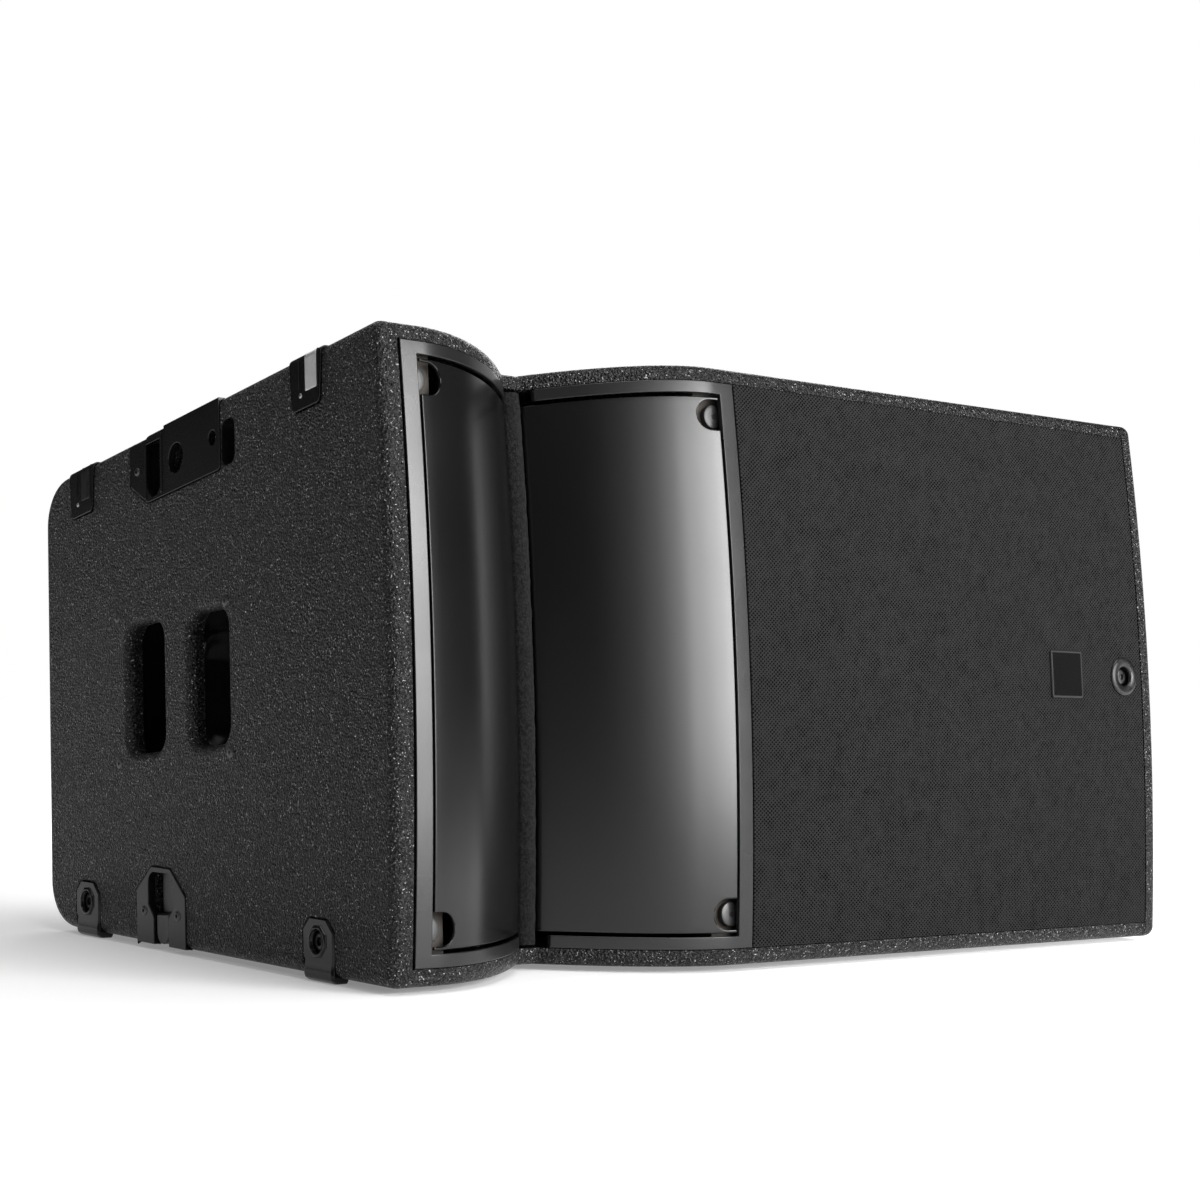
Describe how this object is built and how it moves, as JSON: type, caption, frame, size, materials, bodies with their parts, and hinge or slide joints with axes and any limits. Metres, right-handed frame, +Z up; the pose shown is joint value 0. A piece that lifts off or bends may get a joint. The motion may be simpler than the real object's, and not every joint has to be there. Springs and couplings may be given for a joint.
{
  "type": "line array speaker",
  "caption": "Wedge-shaped two-way line array cabinet with a slot-fed horn between curved flares at one side, a cloth grille, hand holes and side rigging.",
  "frame": {"origin": "middle of the footprint, on the floor under the four lower feet", "axes": "+X from the horn side to the woofer side, +Y from the front to the rear, +Z up; the cabinet leans back with its lower face level"},
  "size_m": [0.775, 0.5132, 0.4349],
  "materials": {
    "textured_black_coat": "birch plywood with a sprayed textured black coat",
    "black_stained_plywood": "black-stained birch plywood",
    "satin_black_trim": "satin black moulded trim",
    "satin_black_flare": "satin black moulded horn flare",
    "black_foam": "open-cell black foam",
    "black_steel": "black powder-coated steel",
    "bright_steel": "zinc-plated steel",
    "black_plastic": "black glass-filled plastic",
    "cast_aluminium": "as-cast aluminium",
    "black_magnet": "black-coated ferrite and steel",
    "surround_rubber": "treated cloth and rubber",
    "cone_paper": "coated paper pulp",
    "coil_copper": "enamelled copper winding",
    "grille_fabric": "black acoustic fabric",
    "spider_cloth": "phenolic-treated cloth",
    "circuit_board": "fibreglass circuit board",
    "gloss_black_badge": "gloss black badge with a plain border"
  },
  "bodies": {
    "cabinet": {"badge": "gloss_black_badge", "bottom_panel": "textured_black_coat", "crossover_board": "circuit_board", "damping_pad": "black_foam", "flare_screw_left_lower": "bright_steel", "flare_screw_left_upper": "bright_steel", "flare_screw_right_lower": "bright_steel", "flare_screw_right_upper": "bright_steel", "foot_bolt_front_left": "bright_steel", "foot_bolt_front_right": "bright_steel", "foot_bolt_rear_left": "bright_steel", "foot_bolt_rear_right": "bright_steel", "foot_bottom_front_left": "black_plastic", "foot_bottom_front_right": "black_plastic", "foot_bottom_rear_left": "black_plastic", "foot_bottom_rear_right": "black_plastic", "foot_top_front_left": "black_plastic", "foot_top_front_right": "black_plastic", "foot_top_rear_left": "black_plastic", "foot_top_rear_right": "black_plastic", "grille_batten": "black_stained_plywood", "grille_cloth": "grille_fabric", "grille_cup_washer": "black_steel", "grille_panel": "black_steel", "grille_screw": "black_steel", "handle_cup_left": "black_plastic", "handle_cup_right": "black_plastic", "hf_driver_body": "cast_aluminium", "hf_driver_cover": "black_magnet", "horn_batten_left": "black_stained_plywood", "horn_batten_right": "black_stained_plywood", "horn_divider": "black_stained_plywood", "horn_flare_left": "satin_black_flare", "horn_flare_right": "satin_black_flare", "horn_frame_left": "satin_black_trim", "horn_frame_right": "satin_black_trim", "input_panel": "black_steel", "rear_panel": "textured_black_coat", "rigging_plate_bottom_left": "black_steel", "rigging_plate_bottom_right": "black_steel", "rigging_plate_top_left": "black_steel", "rigging_plate_top_right": "black_steel", "side_wall_left": "textured_black_coat", "side_wall_right": "textured_black_coat", "socket_in": "black_plastic", "socket_link": "black_plastic", "throat_foam": "black_foam", "top_panel": "textured_black_coat", "waveguide": "black_plastic", "woofer_baffle": "black_stained_plywood", "woofer_basket": "cast_aluminium", "woofer_magnet": "black_magnet", "woofer_spider": "spider_cloth", "woofer_surround": "surround_rubber"},
    "woofer_moving": {"woofer_cone": "cone_paper", "woofer_dust_cap": "cone_paper", "woofer_voice_coil": "coil_copper"},
    "hf_moving": {"hf_diaphragm": "bright_steel"},
    "link_left": {"link_bar_left": "bright_steel"},
    "link_right": {"link_bar_right": "bright_steel"}
  },
  "joints": [
    {"name": "woofer_travel", "type": "slide", "parent": "cabinet", "child": "woofer_moving", "axis": [0, 0.9962, -0.0872], "range_m": [-0.006, 0.006], "stiffness_N_per_m": 2500},
    {"name": "hf_diaphragm_travel", "type": "slide", "parent": "cabinet", "child": "hf_moving", "axis": [0, 0.9962, -0.0872], "range_m": [-0.0005, 0.0005], "stiffness_N_per_m": 500},
    {"name": "link_left_slide", "type": "slide", "parent": "cabinet", "child": "link_left", "axis": [0, -0.0872, -0.9962], "range_m": [0, 0.04]},
    {"name": "link_right_slide", "type": "slide", "parent": "cabinet", "child": "link_right", "axis": [0, -0.0872, -0.9962], "range_m": [0, 0.04]}
  ]
}
